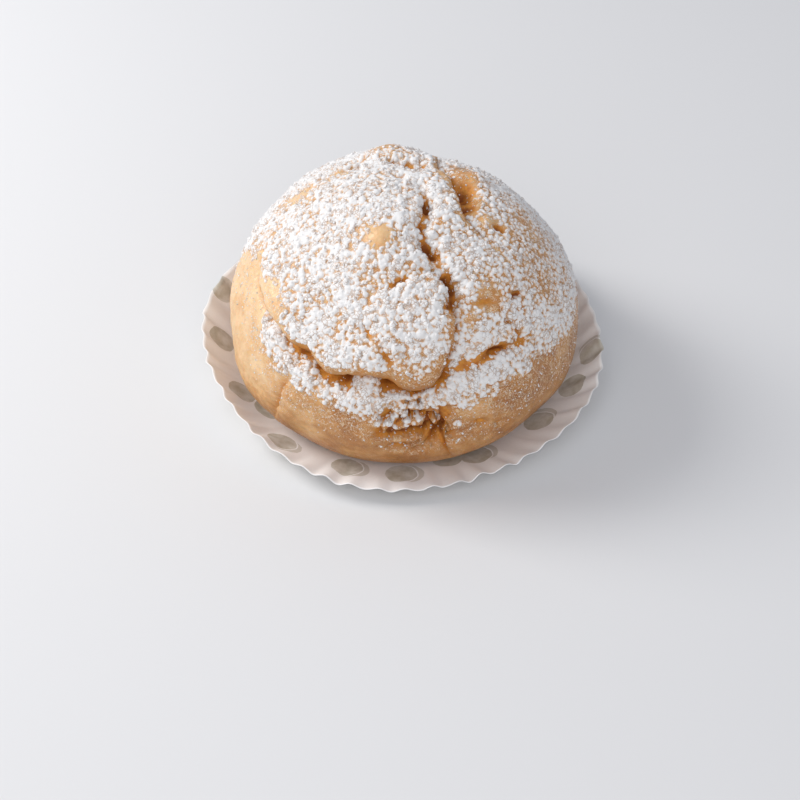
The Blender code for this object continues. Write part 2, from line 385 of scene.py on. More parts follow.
# places in millimetres, with how open each is as a crack and how near it is to a lip
def shapeCrust(dirs):
    cs = crustSettings
    offset = cs["lumpHeight"] * noiseAt(dirs, cs["lumpPitch"])
    offset -= cs["sugarRoom"] * ramp(dirs[:, 2], *cs["sugarRoomFade"])
    push = np.zeros((len(dirs), 3))
    crack = np.zeros(len(dirs))
    lip = np.zeros(len(dirs))
    unevenEdge = uneven(dirs, *cs["unevenEdge"])
    unevenDepth = uneven(dirs, *cs["unevenDepth"])
    unevenWidth = uneven(dirs, *cs["unevenWidth"])
    for plate in cs["plates"]:
        path = smoothPath(plate["places"], cs["wander"])
        one, onePush, oneCrack, oneLip = plateEdge(dirs, path, plate, unevenEdge)
        offset += one
        push += onePush
        crack = np.maximum(crack, oneCrack * min(1.0, plate["depth"] / cs["fullCrack"]))
        lip = np.maximum(lip, oneLip * min(1.0, plate["rise"]))
    for name, places, depth, width, start, end in cs["grooves"] + cs["fineGrooves"]:
        signed, along, across = measure(dirs, smoothPath(places, cs["grooveWander"] * cs["wander"]))
        strength = fadeEnds(along, start, end) * unevenDepth
        offset -= depth * bump(signed, width * unevenWidth) * strength
        oneCrack = bump(signed, cs["grooveOpening"] * width * unevenWidth) * strength
        crack = np.maximum(crack, oneCrack * min(1.0, depth / cs["fullCrack"]))
    for azimuth, elevation, height, width in cs["mounds"] + cs["fineMounds"]:
        angle = angleTo(dirs, azimuth, elevation)
        offset += height * bump(angle, width)
        if height < cs["caveDepth"] and width < cs["caveWidth"]:
            crack = np.maximum(crack, bump(angle, cs["caveSpread"] * width))
    azimuth, elevation, width = cs["torn"]
    coarse = noiseAt(dirs, cs["tornPitch"], 11.0)
    fine = noiseAt(dirs, cs["tornFinePitch"] * cs["tornPitch"], 3.0)
    scraps = ramp(coarse + cs["tornFineSwing"] * fine, *cs["tornCut"])
    tear = scraps * ramp(bump(angleTo(dirs, azimuth, elevation), width), *cs["tornFade"])
    offset -= cs["tornDepth"] * tear
    crack = np.maximum(crack, tear)
    fade = np.clip((dirs[:, 2] - cs["plainBelow"]) / cs["plainFade"], 0, 1)
    reach = np.where(dirs[:, 2] > 0, cs["rise"], cs["sink"])
    points = np.column_stack([puffRadius * dirs[:, 0], puffRadius * dirs[:, 1], reach * dirs[:, 2]])
    points += dirs * (offset * fade)[:, None] + push * fade[:, None]
    height = points[:, 2] + cs["equator"]
    soft = 0.5 * (height + np.sqrt(height ** 2 + cs["baseRounding"] ** 2)) - cs["baseFlattening"]
    points[:, 2] = np.maximum(soft, 0.0)
    return points, np.clip(crack, 0, 1) * fade, lip


def evenBall(name, cuts, focus, lowest=-1.0):
    bm = bmesh.new()
    bmesh.ops.create_cube(bm, size=2.0)
    bmesh.ops.subdivide_edges(bm, edges=bm.edges, cuts=cuts, use_grid_fill=True)
    for vert in bm.verts:
        vert.co = Vector([math.tan(side * math.pi / 4) for side in vert.co]).normalized()
        vert.co = (vert.co + focus).normalized()
    bmesh.ops.delete(bm, geom=[vert for vert in bm.verts if vert.co.z < lowest], context="VERTS")
    mesh = bpy.data.meshes.new(name)
    bm.to_mesh(mesh)
    bm.free()
    return mesh


def readPoints(mesh):
    flat = np.empty(len(mesh.vertices) * 3, np.float32)
    mesh.vertices.foreach_get("co", flat)
    return flat.reshape(-1, 3).astype(float)


def readNormals(mesh):
    flat = np.empty(len(mesh.vertices) * 3, np.float32)
    mesh.vertex_normals.foreach_get("vector", flat)
    return flat.reshape(-1, 3).astype(float)


def writePoints(mesh, points):
    mesh.vertices.foreach_set("co", points.astype(np.float32).ravel())
    mesh.update()


def writePaint(mesh, name, values):
    attribute = mesh.attributes.new(name, "FLOAT", "POINT")
    attribute.data.foreach_set("value", values.astype(np.float32))


sugarSettings = {
    # the lowest elevation of the dense sugar at each azimuth
    "edge": [(-180, 30), (-150, 33), (-125, 30), (-101, 22), (-88, 33), (-75, 35), (-62, 33), (-57, 22),
             (-53, 16.4), (-41, 13.3), (-28, 11.8), (-16, 8.5), (-10, 6.6), (-3, 2), (2, 4.5), (11, 8.9),
             (20, 11.5), (33, 13.9), (44, 16.5), (54, 14), (66, 12), (80, 11.5), (100, 16), (125, 25),
             (150, 31), (180, 30)],
    "edgeSoftness": 3.5,
    # the lowest elevation of the fine specks
    "specksEdge": [(-180, 8), (-120, 6), (-80, 14), (-62, 5), (-47, -4), (-30, -16), (0, -22), (30, -18),
                   (60, -12), (90, -4), (130, 4), (180, 8)],
    "specksFade": (-4, 14),
    # local changes: azimuth, elevation, width, change
    "patches": [(-20, 67.6, 5.6, -1.25), (122, 67, 5.5, -1.0), (133, 61.5, 5, -0.8), (150, 52, 6, -0.6),
                (97, 69.5, 5, -1.2), (78, 68.5, 4, -1.0), (70.5, 61.5, 2.8, -0.8), (71.6, 56.7, 2, -1.0),
                (-53, 31, 5, -0.9), (-61, 34.5, 4.5, -0.8), (-85, 38, 8, -0.5), (-47, 36, 7, -0.4),
                (-57, 41, 6, -0.35), (-125, 63.9, 5, -0.9), (-112, 52.6, 6, -0.8), (-107, 44, 5, -0.5),
                (-166, 63, 7, -1.0), (37, 42.5, 6, -1.0), (25.5, 37.5, 4, -0.8), (43, 28, 4, -0.6),
                (64, 31, 6, -0.4), (-17.5, 53.3, 4, -0.8), (1.2, 57.8, 3, -0.5), (-16.4, 35.9, 4, -0.6),
                (-8.8, 33, 3, -0.6), (-25, 35.7, 3, -0.5), (2, 24, 8, -0.7), (82, 35, 18, -0.55),
                (95, 50, 14, -0.4), (60, 48, 20, -0.28), (-105, 50, 12, -0.25), (5, 2, 9, -0.2),
                (-5, -2, 3, 0.5), (9, 8, 3, 0.5), (-43, 3, 2.5, 0.7), (-46, -3, 2, 0.6)],
    # sugar caught in the torn place: azimuth, elevation, width
    "caught": [(-1, -9, 2.2), (-7.5, -7, 1.8), (-4, -4, 1.6), (7.5, 0, 2.0), (3.4, -6.5, 1.7),
               (6, -9.5, 1.3), (19, -4, 1.3), (18, 3.5, 1.2), (2, 4, 1.8), (11, 3.5, 1.3)],
    # unevenness of the edges: degrees, pitch, seed
    "ragged": ((3.0, 9.0, 3.0), (2.0, 24.0, 5.0)),
    "thinPlaces": (1.0, 0.9, 13.0, 7.0, 0, 1),
    "lipBareness": 0.9,
    "lipFade": (0.1, 0.6),
    "crackFade": (0.15, 0.6),
    "denseSlope": (-0.1, 0.3),  # how far a face has to point up to hold sugar
    "specksSlope": (-0.25, 0.1),
    "crackBareness": 0.8,
}


def dirAngles(dirs):
    azimuth = np.degrees(np.arctan2(dirs[:, 0], -dirs[:, 1]))
    return azimuth, np.degrees(np.arcsin(np.clip(dirs[:, 2], -1, 1)))


# how much clumped sugar and how many specks lie at each place
def sugarCover(dirs, normals, crack, lip):
    ss = sugarSettings
    azimuth, elevation = dirAngles(dirs)
    ragged = sum(size * noiseAt(dirs, pitch, seed) for size, pitch, seed in ss["ragged"])
    edge = np.interp(azimuth, *zip(*ss["edge"]))
    dense = ramp(elevation - edge + ragged, -ss["edgeSoftness"], ss["edgeSoftness"])
    for patchAzimuth, patchElevation, width, change in ss["patches"]:
        dense = dense + change * bump(angleTo(dirs, patchAzimuth, patchElevation), width)
    dense = np.clip(dense, 0, 1) * (1 - ss["lipBareness"] * ramp(lip, *ss["lipFade"]))
    dense *= 1 - ramp(crack, *ss["crackFade"])
    dense *= uneven(dirs, *ss["thinPlaces"])
    for caughtAzimuth, caughtElevation, width in ss["caught"]:
        dense = np.maximum(dense, bump(angleTo(dirs, caughtAzimuth, caughtElevation), width))
    dense *= ramp(normals[:, 2], *ss["denseSlope"])
    specksEdge = np.interp(azimuth, *zip(*ss["specksEdge"]))
    specks = ramp(elevation - specksEdge + ragged, *ss["specksFade"])
    specks *= ramp(normals[:, 2], *ss["specksSlope"])
    specks *= (1 - ss["crackBareness"] * crack) * (1 - onBlister(dirs))
    return np.clip(dense, 0, 1), np.clip(specks, 0, 1)


def layCrust(mesh):  # turns a ball of directions into the crust's surface
    cs = crustSettings
    dirs = readPoints(mesh)
    for plate in cs["plates"]:
        drawOnto(dirs, smoothPath(plate["places"], cs["wander"]), cs["snap"])
    points, crack, lip = shapeCrust(dirs)
    writePoints(mesh, points)
    normals = readNormals(mesh)
    relief = sum(height * noiseAt(dirs, pitch, pitch)
                 for height, pitch in zip(cs["reliefHeights"], cs["reliefPitches"]))
    fade = np.clip((dirs[:, 2] - cs["reliefBelow"]) / cs["reliefFade"], 0, 1)
    relief *= fade * (cs["reliefPlain"] + cs["reliefInCracks"] * crack)
    points += normals * relief[:, None]
    points[:, 2] = np.maximum(points[:, 2], 0.0)
    points = points * mm + np.array([0.0, 0.0, puffLow.z])
    writePoints(mesh, points)
    normals = readNormals(mesh)
    dense, specks = sugarCover(dirs, normals, crack, lip)
    return {"dirs": dirs, "points": points, "normals": normals, "crack": crack, "dense": dense,
            "specks": specks}


def addTriangles(mesh, surface):
    mesh.calc_loop_triangles()
    flat = np.empty(len(mesh.loop_triangles) * 3, np.int32)
    mesh.loop_triangles.foreach_get("vertices", flat)
    triangles = flat.reshape(-1, 3)
    a, b, c = (surface["points"][triangles[:, i]] for i in range(3))
    surface["triangles"] = triangles
    surface["areas"] = 0.5 * np.linalg.norm(np.cross(b - a, c - a), axis=1)
    return surface


# looks of the crust; lengths in millimetres
crustLooks = {
    # paler places: the lit left side and the top (painted light, partly less-baked crust), and less-baked
    # patches
    "litPaleSide": -85,
    "litPaleSideWidth": 55,
    "litPaleSideRise": (-45, 10),
    "litPaleTop": 0.4,
    "litPaleTopRise": (20, 70),
    "palePatches": 0.35,
    "palePitch": 5.0,
    "paleBlister": 0.15,
    # sizes of the patches of colour
    "cloud": 9,
    "mottle": 2.2,
    "fine": 0.5,
    "vein": 1.5,
    "browningAndShade": [(0.0, (0.82, 0.55, 0.29)), (0.35, (0.70, 0.385, 0.15)), (0.7, (0.51, 0.225, 0.06)),
                 (1.0, (0.36, 0.135, 0.03))],
    "crumb": [(0.3, (0.44, 0.13, 0.008)), (0.6, (0.66, 0.27, 0.035))],
    # painted shade: the crumb's colour deep in the cracks
    "shadedCrumb": (0.25, 0.058, 0.003),
    "shadeUnderSugar": (0.50, 0.215, 0.062),  # painted shade on the crust between and under the sugar lumps
    "melted": (0.84, 0.66, 0.46),  # thin lines of melted sugar
    "powder": (0.86, 0.82, 0.78),
    "relief": 0.45,
}


def buildCrust():
    cs = crustSettings
    look = crustLooks
    mesh = evenBall("crust", cs["cuts"], Vector(cs["focus"]))
    surface = layCrust(mesh)
    mesh.shade_smooth()
    azimuth, elevation = dirAngles(surface["dirs"])
    # painted light: paler on the lit left side and on top, partly also less-baked crust
    pale = bump(azimuth - look["litPaleSide"], look["litPaleSideWidth"])
    pale *= ramp(elevation, *look["litPaleSideRise"])
    pale += look["litPaleTop"] * ramp(elevation, *look["litPaleTopRise"])
    pale += (look["palePatches"] * noiseAt(surface["dirs"], look["palePitch"], 8.0)
             + look["paleBlister"] * onBlister(surface["dirs"]))
    for name in ("dense", "specks", "crack"):
        writePaint(mesh, name, surface[name])
    writePaint(mesh, "pale", np.clip(pale, 0, 1))
    addPiece("crust", mesh, crustMaterial(), "puff")
    say(f"crust: {len(mesh.polygons)} faces")
    return addTriangles(mesh, surface)


def crustMaterial():
    look = crustLooks
    material, graph, shader = newMaterial("baked crust")
    place = objectPlace(graph)
    dense, specks, crack, pale = (paint(graph, name) for name in ("dense", "specks", "crack", "pale"))
    cloud = grain(graph, place, look["cloud"] * mm, 4.0)
    mottle = grain(graph, place, look["mottle"] * mm, 5.0, 0.6)
    fine = grain(graph, place, look["fine"] * mm, 3.0, 0.6)
    # the crust, more or less browned, with painted shade away from the lit side, and the crumb in its
    # cracks
    browningAndShade = (1.0 - pale) * 0.8 + (cloud - 0.5) * 1.1 + (mottle - 0.5) * 0.7
    crustColor = colorRamp(graph, look["browningAndShade"], browningAndShade.clamped())
    crumb = colorRamp(graph, look["crumb"], mottle)
    # painted shade: the crumb darkens deep in the cracks
    crumb = blendColors(graph, crack.step(0.6, 1.0) * 0.85, crumb, look["shadedCrumb"])
    bare = crack.step(0.15, 0.55)
    closed = 1.0 - bare
    color = blendColors(graph, bare, crustColor, crumb)
    # painted shade between the sugar lumps, and sugar that has melted or that lies too thin for a shape
    shadeUnderSugar = (dense * 1.2 + (mottle - 0.5) * 0.8).step(0.15, 0.7) * closed * 0.7
    color = blendColors(graph, shadeUnderSugar, color, look["shadeUnderSugar"])
    squiggle = grain(graph, place, look["vein"] * mm, 2.0, 0.5, 1.5)
    line = 1.0 - squiggle.sum("ABSOLUTE", squiggle - 0.5).step(0.0, 0.05)
    vein = line * (0.12 + specks * 0.75) * closed
    color = blendColors(graph, vein, color, look["melted"])
    film = (dense * 0.9 - fine * 0.7 - 0.1).step(0.2, 0.6) * 0.8
    dusting = (specks * 0.3 + fine - 0.9).step(0.0, 0.08) * closed * 0.28
    white = film.sum("MAXIMUM", film, dusting)
    color = blendColors(graph, white, color, look["powder"])
    rough = 0.34 + (mottle - 0.5) * 0.3 + white * 0.4 + bare * 0.3
    height = mottle * 0.6 + fine * 0.35 + white * 0.6 + line * 0.35
    relief = reliefFrom(graph, height, 0.6, look["relief"] * mm)
    setShader(shader, {"Base Color": color, "Roughness": rough, "Normal": relief},
              **{"Specular IOR Level": 0.5, "Subsurface Weight": 0.12, "Subsurface Scale": 1.2 * mm})
    return material


# the coat of sugar that has clumped together: low domes that run into each other; lengths in millimetres
coatSettings = {
    "seed": 5,
    "cuts": 198,
    "lowest": -0.03,  # just below the widest ring; the coat has no faces lower down
    "leastCover": 0.16,
    "lumps": 12000,  # at most
    "tries": 4,  # for each lump
    "radius": (0.76, 1.36),
    "smallerMore": 1.3,
    "thinShrink": 0.45,  # lumps at the edge of the sugar have this share of the size
    "thickShrink": 0.75,
    "gap": 1.12,
    "thinSpread": 1.4,
    "thickSpread": 0.4,
    "cell": 2,
    "dome": 0.52,
    "flatness": 3.4,
    "blend": 8.0,
    "neighbours": 5,
    "warp": 0.42,
    "warpPitch": 1.1,
    "crumble": 0.09,
    "crumblePitch": 0.8,
    "seamWidth": 0.3,
    "seamDepth": 0.2,
    "seamPitch": 2.2,
    "seamShare": 0.6,
    "seamSwing": 2.0,
    "thickness": (-0.4, 3.0),
    "buried": -0.12,  # faces below this are left out
    "fullThickness": 0.45,
}

# loose sugar: how finely each ball is divided, how many at most, radius and least distance in millimetres,
# how flat, how ragged and how deep it sits, what it lies on, and the cover that places it
lumpKinds = {
    "sugar_lumps": {"subdivisions": 2, "count": 900, "radius": (0.35, 0.65), "gap": 2.0, "flat": 0.6,
                    "ragged": 0.2, "sink": 0.2, "on": "coat", "cover": "dense", "least": 0.3,
                    "smooth": True},
    "sugar_clumps": {"subdivisions": 1, "count": 3000, "radius": (0.22, 0.5), "gap": 0.9, "flat": 0.45,
                     "ragged": 0.3, "sink": 0.1, "on": "coat", "cover": "dense", "least": 0.04,
                     "smooth": False},
    "sugar_crumbs": {"subdivisions": 1, "count": 2500, "radius": (0.2, 0.5), "gap": 1.0, "flat": 0.6,
                     "ragged": 0.3, "sink": 0.1, "on": "crust", "cover": "dense", "least": 0.03,
                     "smooth": False},
    "sugar_grains": {"subdivisions": 0, "count": 7000, "radius": (0.1, 0.26), "gap": 0.0, "flat": 0.8,
                     "ragged": 0.25, "sink": 0.0, "on": "crust", "cover": "specks", "least": 0.02,
                     "smooth": False},
}

# what the kinds of loose sugar have in common
looseSettings = {
    "tries": 4,
    "smallerMore": 1.6,
    "thinSpread": 1.35,
    "thickSpread": 0.35,
    "cell": 3.0,
    "stretch": 0.25,
    "stretchLimit": 1.5,
    "raggedLimit": 1.6,
    "lift": 0.35,
}


def smallBall(subdivisions):
    bm = bmesh.new()
    if subdivisions:
        bmesh.ops.create_icosphere(bm, subdivisions=subdivisions, radius=1.0)
    else:
        bmesh.ops.create_uvsphere(bm, u_segments=4, v_segments=2, radius=1.0)
    bmesh.ops.triangulate(bm, faces=bm.faces)
    bm.verts.index_update()
    corners = np.array([vert.co for vert in bm.verts])
    faces = np.array([[vert.index for vert in face.verts] for face in bm.faces])
    bm.free()
    return corners, faces


def pickSpots(rng, surface, cover, amount):
    triangles = surface["triangles"]
    chance = surface["areas"] * cover[triangles].mean(axis=1)
    picked = rng.choice(len(triangles), size=amount, p=chance / chance.sum())
    shares = rng.random((amount, 2))
    over = shares.sum(axis=1) > 1
    shares[over] = 1 - shares[over]
    weights = np.column_stack([1 - shares.sum(axis=1), shares])
    corners = triangles[picked]
    spots = (surface["points"][corners] * weights[:, :, None]).sum(axis=1)
    ups = (surface["normals"][corners] * weights[:, :, None]).sum(axis=1)
    ups /= np.linalg.norm(ups, axis=1)[:, None]
    return spots, ups, (cover[corners] * weights).sum(axis=1)


# the first spots that keep their gap to all earlier ones, up to a count
def keepApart(spots, gaps, count, cell):
    taken = {}
    kept = []
    for index, (spot, gap) in enumerate(zip(spots, gaps)):
        key = tuple((spot // cell).astype(int))
        near = [other for dx in (-1, 0, 1) for dy in (-1, 0, 1) for dz in (-1, 0, 1)
                for other in taken.get((key[0] + dx, key[1] + dy, key[2] + dz), ())]
        if any((spot[0] - x) ** 2 + (spot[1] - y) ** 2 + (spot[2] - z) ** 2 < (0.5 * (gap + wide)) ** 2
               for x, y, z, wide in near):
            continue
        taken.setdefault(key, []).append((*spot, gap))
        kept.append(index)
        if len(kept) == count:
            break
    return np.array(kept)


# how high the coat stands over each point of the crust
def coatHeights(points, spots, sizes):
    cs = coatSettings
    aboveNothing = 1e-6
    tree = kdtree.KDTree(len(spots))
    for index, spot in enumerate(spots):
        tree.insert(spot, index)
    tree.balance()
    heights = []
    for point in points:
        place = Vector(point)
        warped = place + cs["warp"] * mm * noise.noise_vector(place / (cs["warpPitch"] * mm))
        total = 0.0
        near = tree.find_n(warped, cs["neighbours"])
        for _, index, distance in near:
            radius = sizes[index]
            total += math.exp(cs["blend"] * cs["dome"] * radius
                              * (1 - (distance / mm / radius) ** cs["flatness"]))
        # a seam runs where the two nearest lumps are about as far away
        seam = max(0.0, 1 - (near[1][2] - near[0][2]) / mm / cs["seamWidth"])
        seamNoise = cs["seamSwing"] * noise.noise(place / (cs["seamPitch"] * mm))
        seam *= min(1.0, max(0.0, cs["seamShare"] + seamNoise))
        heights.append(math.log(total + aboveNothing) / cs["blend"] - cs["seamDepth"] * seam
                       + cs["crumble"] * noise.noise(place / (cs["crumblePitch"] * mm)))
    return np.array(heights)


def buildCoat(crust, material):
    cs = coatSettings
    rng = np.random.default_rng(cs["seed"])
    cover = np.where(crust["dense"] > cs["leastCover"], crust["dense"], 0.0)
    spots, ups, amounts = pickSpots(rng, crust, cover, cs["tries"] * cs["lumps"])
    low, high = cs["radius"]
    sizes = low + (high - low) * rng.random(len(spots)) ** cs["smallerMore"]
    sizes = sizes * np.clip(cs["thinShrink"] + cs["thickShrink"] * amounts, 0, 1)
    gaps = cs["gap"] * mm * (sizes / sizes.mean()) * (cs["thinSpread"] - cs["thickSpread"] * amounts)
    kept = keepApart(spots, gaps, cs["lumps"], cs["cell"] * mm)
    mesh = evenBall("sugar_coat", cs["cuts"], Vector(crustSettings["focus"]), cs["lowest"])
    surface = layCrust(mesh)
    heights = coatHeights(surface["points"], spots[kept], sizes[kept])
    points = surface["points"] + surface["normals"] * np.clip(heights, *cs["thickness"])[:, None] * mm
    writePoints(mesh, points)
    writePaint(mesh, "thick", np.clip(heights / cs["fullThickness"], 0, 1))
    writePaint(mesh, "dense", surface["dense"])
    bm = bmesh.new()
    bm.from_mesh(mesh)
    bm.verts.ensure_lookup_table()
    buried = heights < cs["buried"]
    hidden = [face for face in bm.faces if all(buried[vert.index] for vert in face.verts)]
    bmesh.ops.delete(bm, geom=hidden, context="FACES")
    bm.to_mesh(mesh)
    bm.free()
    mesh.shade_smooth()
    addPiece("sugar_coat", mesh, material)
    say(f"sugar coat: {len(kept)} lumps, {len(mesh.polygons)} faces")
    cover = np.empty(len(mesh.vertices), np.float32)
    mesh.attributes["dense"].data.foreach_get("value", cover)
    surface = {"points": readPoints(mesh), "normals": readNormals(mesh), "dense": cover}
    return addTriangles(mesh, surface)


def buildSugar(name, surface, material):
    kind = lumpKinds[name]
    ls = looseSettings
    rng = np.random.default_rng(len(name) * 7 + kind["count"])
    cover = surface[kind["cover"]]
    cover = np.where(cover > kind["least"], cover, 0.0)
    tries = ls["tries"] if kind["gap"] else 1
    spots, ups, amounts = pickSpots(rng, surface, cover, kind["count"] * tries)
    low, high = kind["radius"]
    sizes = low + (high - low) * rng.random(len(spots)) ** ls["smallerMore"]
    if kind["gap"]:
        gaps = kind["gap"] * mm * (sizes / sizes.mean()) * (ls["thinSpread"] - ls["thickSpread"] * amounts)
        kept = keepApart(spots, gaps, kind["count"], ls["cell"] * mm)
        spots, ups, sizes = spots[kept], ups[kept], sizes[kept]
    corners, faces = smallBall(kind["subdivisions"])
    amount = len(spots)
    spin = rng.normal(size=(amount, 3))
    side = np.cross(ups, spin)
    side /= np.linalg.norm(side, axis=1)[:, None]
    other = np.cross(ups, side)
    stretch = rng.normal(size=(amount, 1, 1)).clip(-ls["stretchLimit"], ls["stretchLimit"])
    stretch = 1 + ls["stretch"] * stretch
    rough = rng.normal(size=(amount, len(corners), 1)).clip(-ls["raggedLimit"], ls["raggedLimit"])
    shape = corners[None] * (1 + kind["ragged"] * rough) * sizes[:, None, None] * mm
    world = (shape[:, :, 0:1] * side[:, None] * stretch + shape[:, :, 1:2] * other[:, None]
             + kind["flat"] * shape[:, :, 2:3] * ups[:, None])
    lift = (kind["flat"] * ls["lift"] - kind["sink"]) * sizes * mm
    world += (spots + ups * lift[:, None])[:, None]
    allFaces = faces[None] + (np.arange(amount) * len(corners))[:, None, None]
    mesh = bpy.data.meshes.new(name)
    mesh.from_pydata(world.reshape(-1, 3).tolist(), [], allFaces.reshape(-1, 3).tolist())
    mesh.update()
    if kind["smooth"]:
        mesh.shade_smooth()
    else:
        mesh.shade_flat()
    writePaint(mesh, "thick", np.ones(len(mesh.vertices)))
    addPiece(name, mesh, material)
    say(f"{name}: {amount} pieces, {len(mesh.polygons)} faces")


# looks of the sugar; lengths in millimetres
sugarLooks = {
    "cloud": 3,
    "fine": 0.3,
    "cells": 0.95,  # the cells whose edges are the fine seams
    "bendSize": 1.2,
    "bend": 0.7,
    "powder": [(0.25, (0.70, 0.67, 0.645)), (0.5, (0.80, 0.78, 0.76)), (0.8, (0.87, 0.86, 0.85))],
    "thin": (0.70, 0.44, 0.26),
    "seam": (0.42, 0.27, 0.17),
    "relief": 0.2,
}


def sugarMaterial():
    look = sugarLooks
    material, graph, shader = newMaterial("icing sugar")
    place = objectPlace(graph)
    thick = paint(graph, "thick")
    cloud = grain(graph, place, look["cloud"] * mm, 3.0)
    fine = grain(graph, place, look["fine"] * mm, 3.0, 0.65)
    powder = colorRamp(graph, look["powder"], cloud * 0.5 + fine * 0.5)
    inputs = {"Vector": bendPlace(graph, place, look["bendSize"] * mm, look["bend"] * mm),
              "Scale": 1 / (look["cells"] * mm)}
    cells = graph.make("ShaderNodeTexVoronoi", {"feature": "DISTANCE_TO_EDGE"}, inputs)
    seam = (1.0 - cells.step(0.03, 0.15)) * (cloud - 0.48).step(0.0, 0.08)
    color = blendColors(graph, (thick + (fine - 0.5) * 0.6).step(0.0, 0.8), look["thin"], powder)
    color = blendColors(graph, seam * 0.6, color, look["seam"])
    relief = reliefFrom(graph, fine - seam * 0.6, 0.5, look["relief"] * mm)
    setShader(shader, {"Base Color": color, "Roughness": 0.85 + fine * 0.12, "Normal": relief},
              **{"Specular IOR Level": 0.25})
    return material


paperSettings = {
    "floorRadius": 34.5,
    "rimBeyond": 0.4,  # how far waves and flutes reach past the mean rim
    "waves": ((3, -0.8, 0.5), (4, -0.1, 1.0)),
    "rimHeight": 10.8,
    "riseRight": -0.009,
    "riseBack": 0.045,
    "curve": 2.0,
    "frontDraw": 3.6,
    "frontDrop": 4.6,
    "frontStraightening": 0.8,
    "frontSharpness": 3,
    "flutes": 48,
    "swing": 0.42,
    "swingUnevenness": 1.2,
    "fluteFade": 2.2,
    "fluteDrift": 1.2,
    "crinkle": 0.35,
    "crinkleMiddle": 0.3,
    "crinkleFade": 1.6,
    "pointsPerFlute": 12,
    "rings": 26,
    "thickness": 0.12,
    "sheetScale": 0.008,  # millimetres to the sheet's own coordinates
    "dotRadius": 4.05,
    "secondPrint": 1.8,
    # dots: azimuth from the front, millimetres in from the rim along the paper, 1 for a second print beside
    "dots": [(-112.5, 2.4, 0), (-94.5, 6.9, 0), (-71.5, 9.1, 0), (-63.5, 14.5, 0), (-44, 7.2, 1),
             (-20, 9.0, 1), (-1, 8.3, 1), (17.5, 13.5, 0), (28, 11.6, 1), (57, 12.6, 1), (75.5, 9.0, 0),
             (87, 3.6, 1), (104, 9.5, 0), (122, 4.0, 1), (140, 10.5, 0), (158, 5.0, 0), (176, 11.0, 1),
             (-167, 4.4, 0), (-149, 9.6, 0), (-131, 5.0, 1)],
    "dotBlur": 0.12,
    "clearRing": (0.25, 0.45),  # the second print keeps this far from the first
    "paper": [(0.3, (0.87, 0.855, 0.83)), (0.7, (0.94, 0.93, 0.92))],
    "ink": (0.27, 0.222, 0.098),
}


def wallShape(turn):
    ps = paperSettings
    front = max(0.0, -math.cos(turn)) ** ps["frontSharpness"]
    radius = rimRadius - ps["frontDraw"] * front
    for order, cosine, sine in ps["waves"]:
        radius += cosine * math.cos(order * turn) + sine * math.sin(order * turn)
    height = ps["rimHeight"] - ps["frontDrop"] * front
    height += rimRadius * (ps["riseRight"] * math.sin(turn) + ps["riseBack"] * math.cos(turn))
    return radius - ps["floorRadius"], height, ps["curve"] - ps["frontStraightening"] * front


def alongPaper(turn, top, steps=12):  # the paper's own length from the floor up to a share of the wall
    span, rim, curve = wallShape(turn)
    shares = [top * (step + 0.5) / steps for step in range(steps)]
    return sum(math.hypot(span, curve * rim * share ** (curve - 1)) for share in shares) * top / steps


def wallPoint(turn, share):
    ps = paperSettings
    span, rim, curve = wallShape(turn)
    slope = math.atan2(curve * rim * share ** (curve - 1), span)
    around = Vector((math.sin(turn), math.cos(turn), 0.0))
    uneven = noise.noise(3 * around + Vector((0, 0, 0.7)))
    local = noise.noise(9 * around + Vector((0, 0, 4)))
    flute = math.cos(ps["flutes"] * turn + ps["fluteDrift"] * uneven)
    swing = ps["swing"] * share ** ps["fluteFade"] * flute * (1 + ps["swingUnevenness"] * local)
    fold = abs(noise.noise(14 * around + Vector((0, 0, 0.6 * share + 7))))
    swing += ps["crinkle"] * (ps["crinkleMiddle"] - fold) * share * (ps["crinkleFade"] - share)
    radius = ps["floorRadius"] + span * share - swing * math.sin(slope)
    height = rim * share ** curve + swing * math.cos(slope)
    return Vector((radius * math.sin(turn), radius * math.cos(turn), max(height, 0.0)))


def buildPaper():
    ps = paperSettings
    bm = bmesh.new()
    made = bmesh.ops.create_circle(bm, cap_ends=True, segments=ps["flutes"] * ps["pointsPerFlute"],
                                   radius=ps["floorRadius"])
    flatPlace = {vert: Vector((vert.co.x, vert.co.y)) for vert in made["verts"]}
    edges = [edge for edge in bm.edges if edge.is_boundary]
    for level in range(1, ps["rings"] + 1):
        grown = bmesh.ops.extrude_edge_only(bm, edges=edges)["geom"]
        edges = [item for item in grown if isinstance(item, bmesh.types.BMEdge) and item.is_boundary]
        for vert in [item for item in grown if isinstance(item, bmesh.types.BMVert)]:
            turn = math.atan2(vert.co.x, vert.co.y)
            share = level / ps["rings"]
            vert.co = wallPoint(turn, share)
            reach = ps["floorRadius"] + alongPaper(turn, share)
            flatPlace[vert] = reach * Vector((math.sin(turn), math.cos(turn)))
    flat = bm.loops.layers.uv.new("flat sheet")
    for face in bm.faces:
        for loop in face.loops:
            loop[flat].uv = flatPlace[loop.vert] * ps["sheetScale"] + Vector((0.5, 0.5))
    bmesh.ops.recalc_face_normals(bm, faces=bm.faces)
    if max(bm.faces, key=lambda face: face.calc_area()).normal.z < 0:
        bmesh.ops.reverse_faces(bm, faces=bm.faces)
    bmesh.ops.scale(bm, vec=(mm, mm, mm), verts=bm.verts)
    mesh = bpy.data.meshes.new("fluted_paper")
    bm.to_mesh(mesh)
    bm.free()
    mesh.shade_smooth()
    piece = addPiece("fluted_paper", mesh, paperMaterial(), "paper_case")
    wall = piece.modifiers.new("thickness", "SOLIDIFY")
    wall.thickness = ps["thickness"] * mm
    wall.offset = 1.0
    say(f"paper: {len(mesh.polygons)} faces")


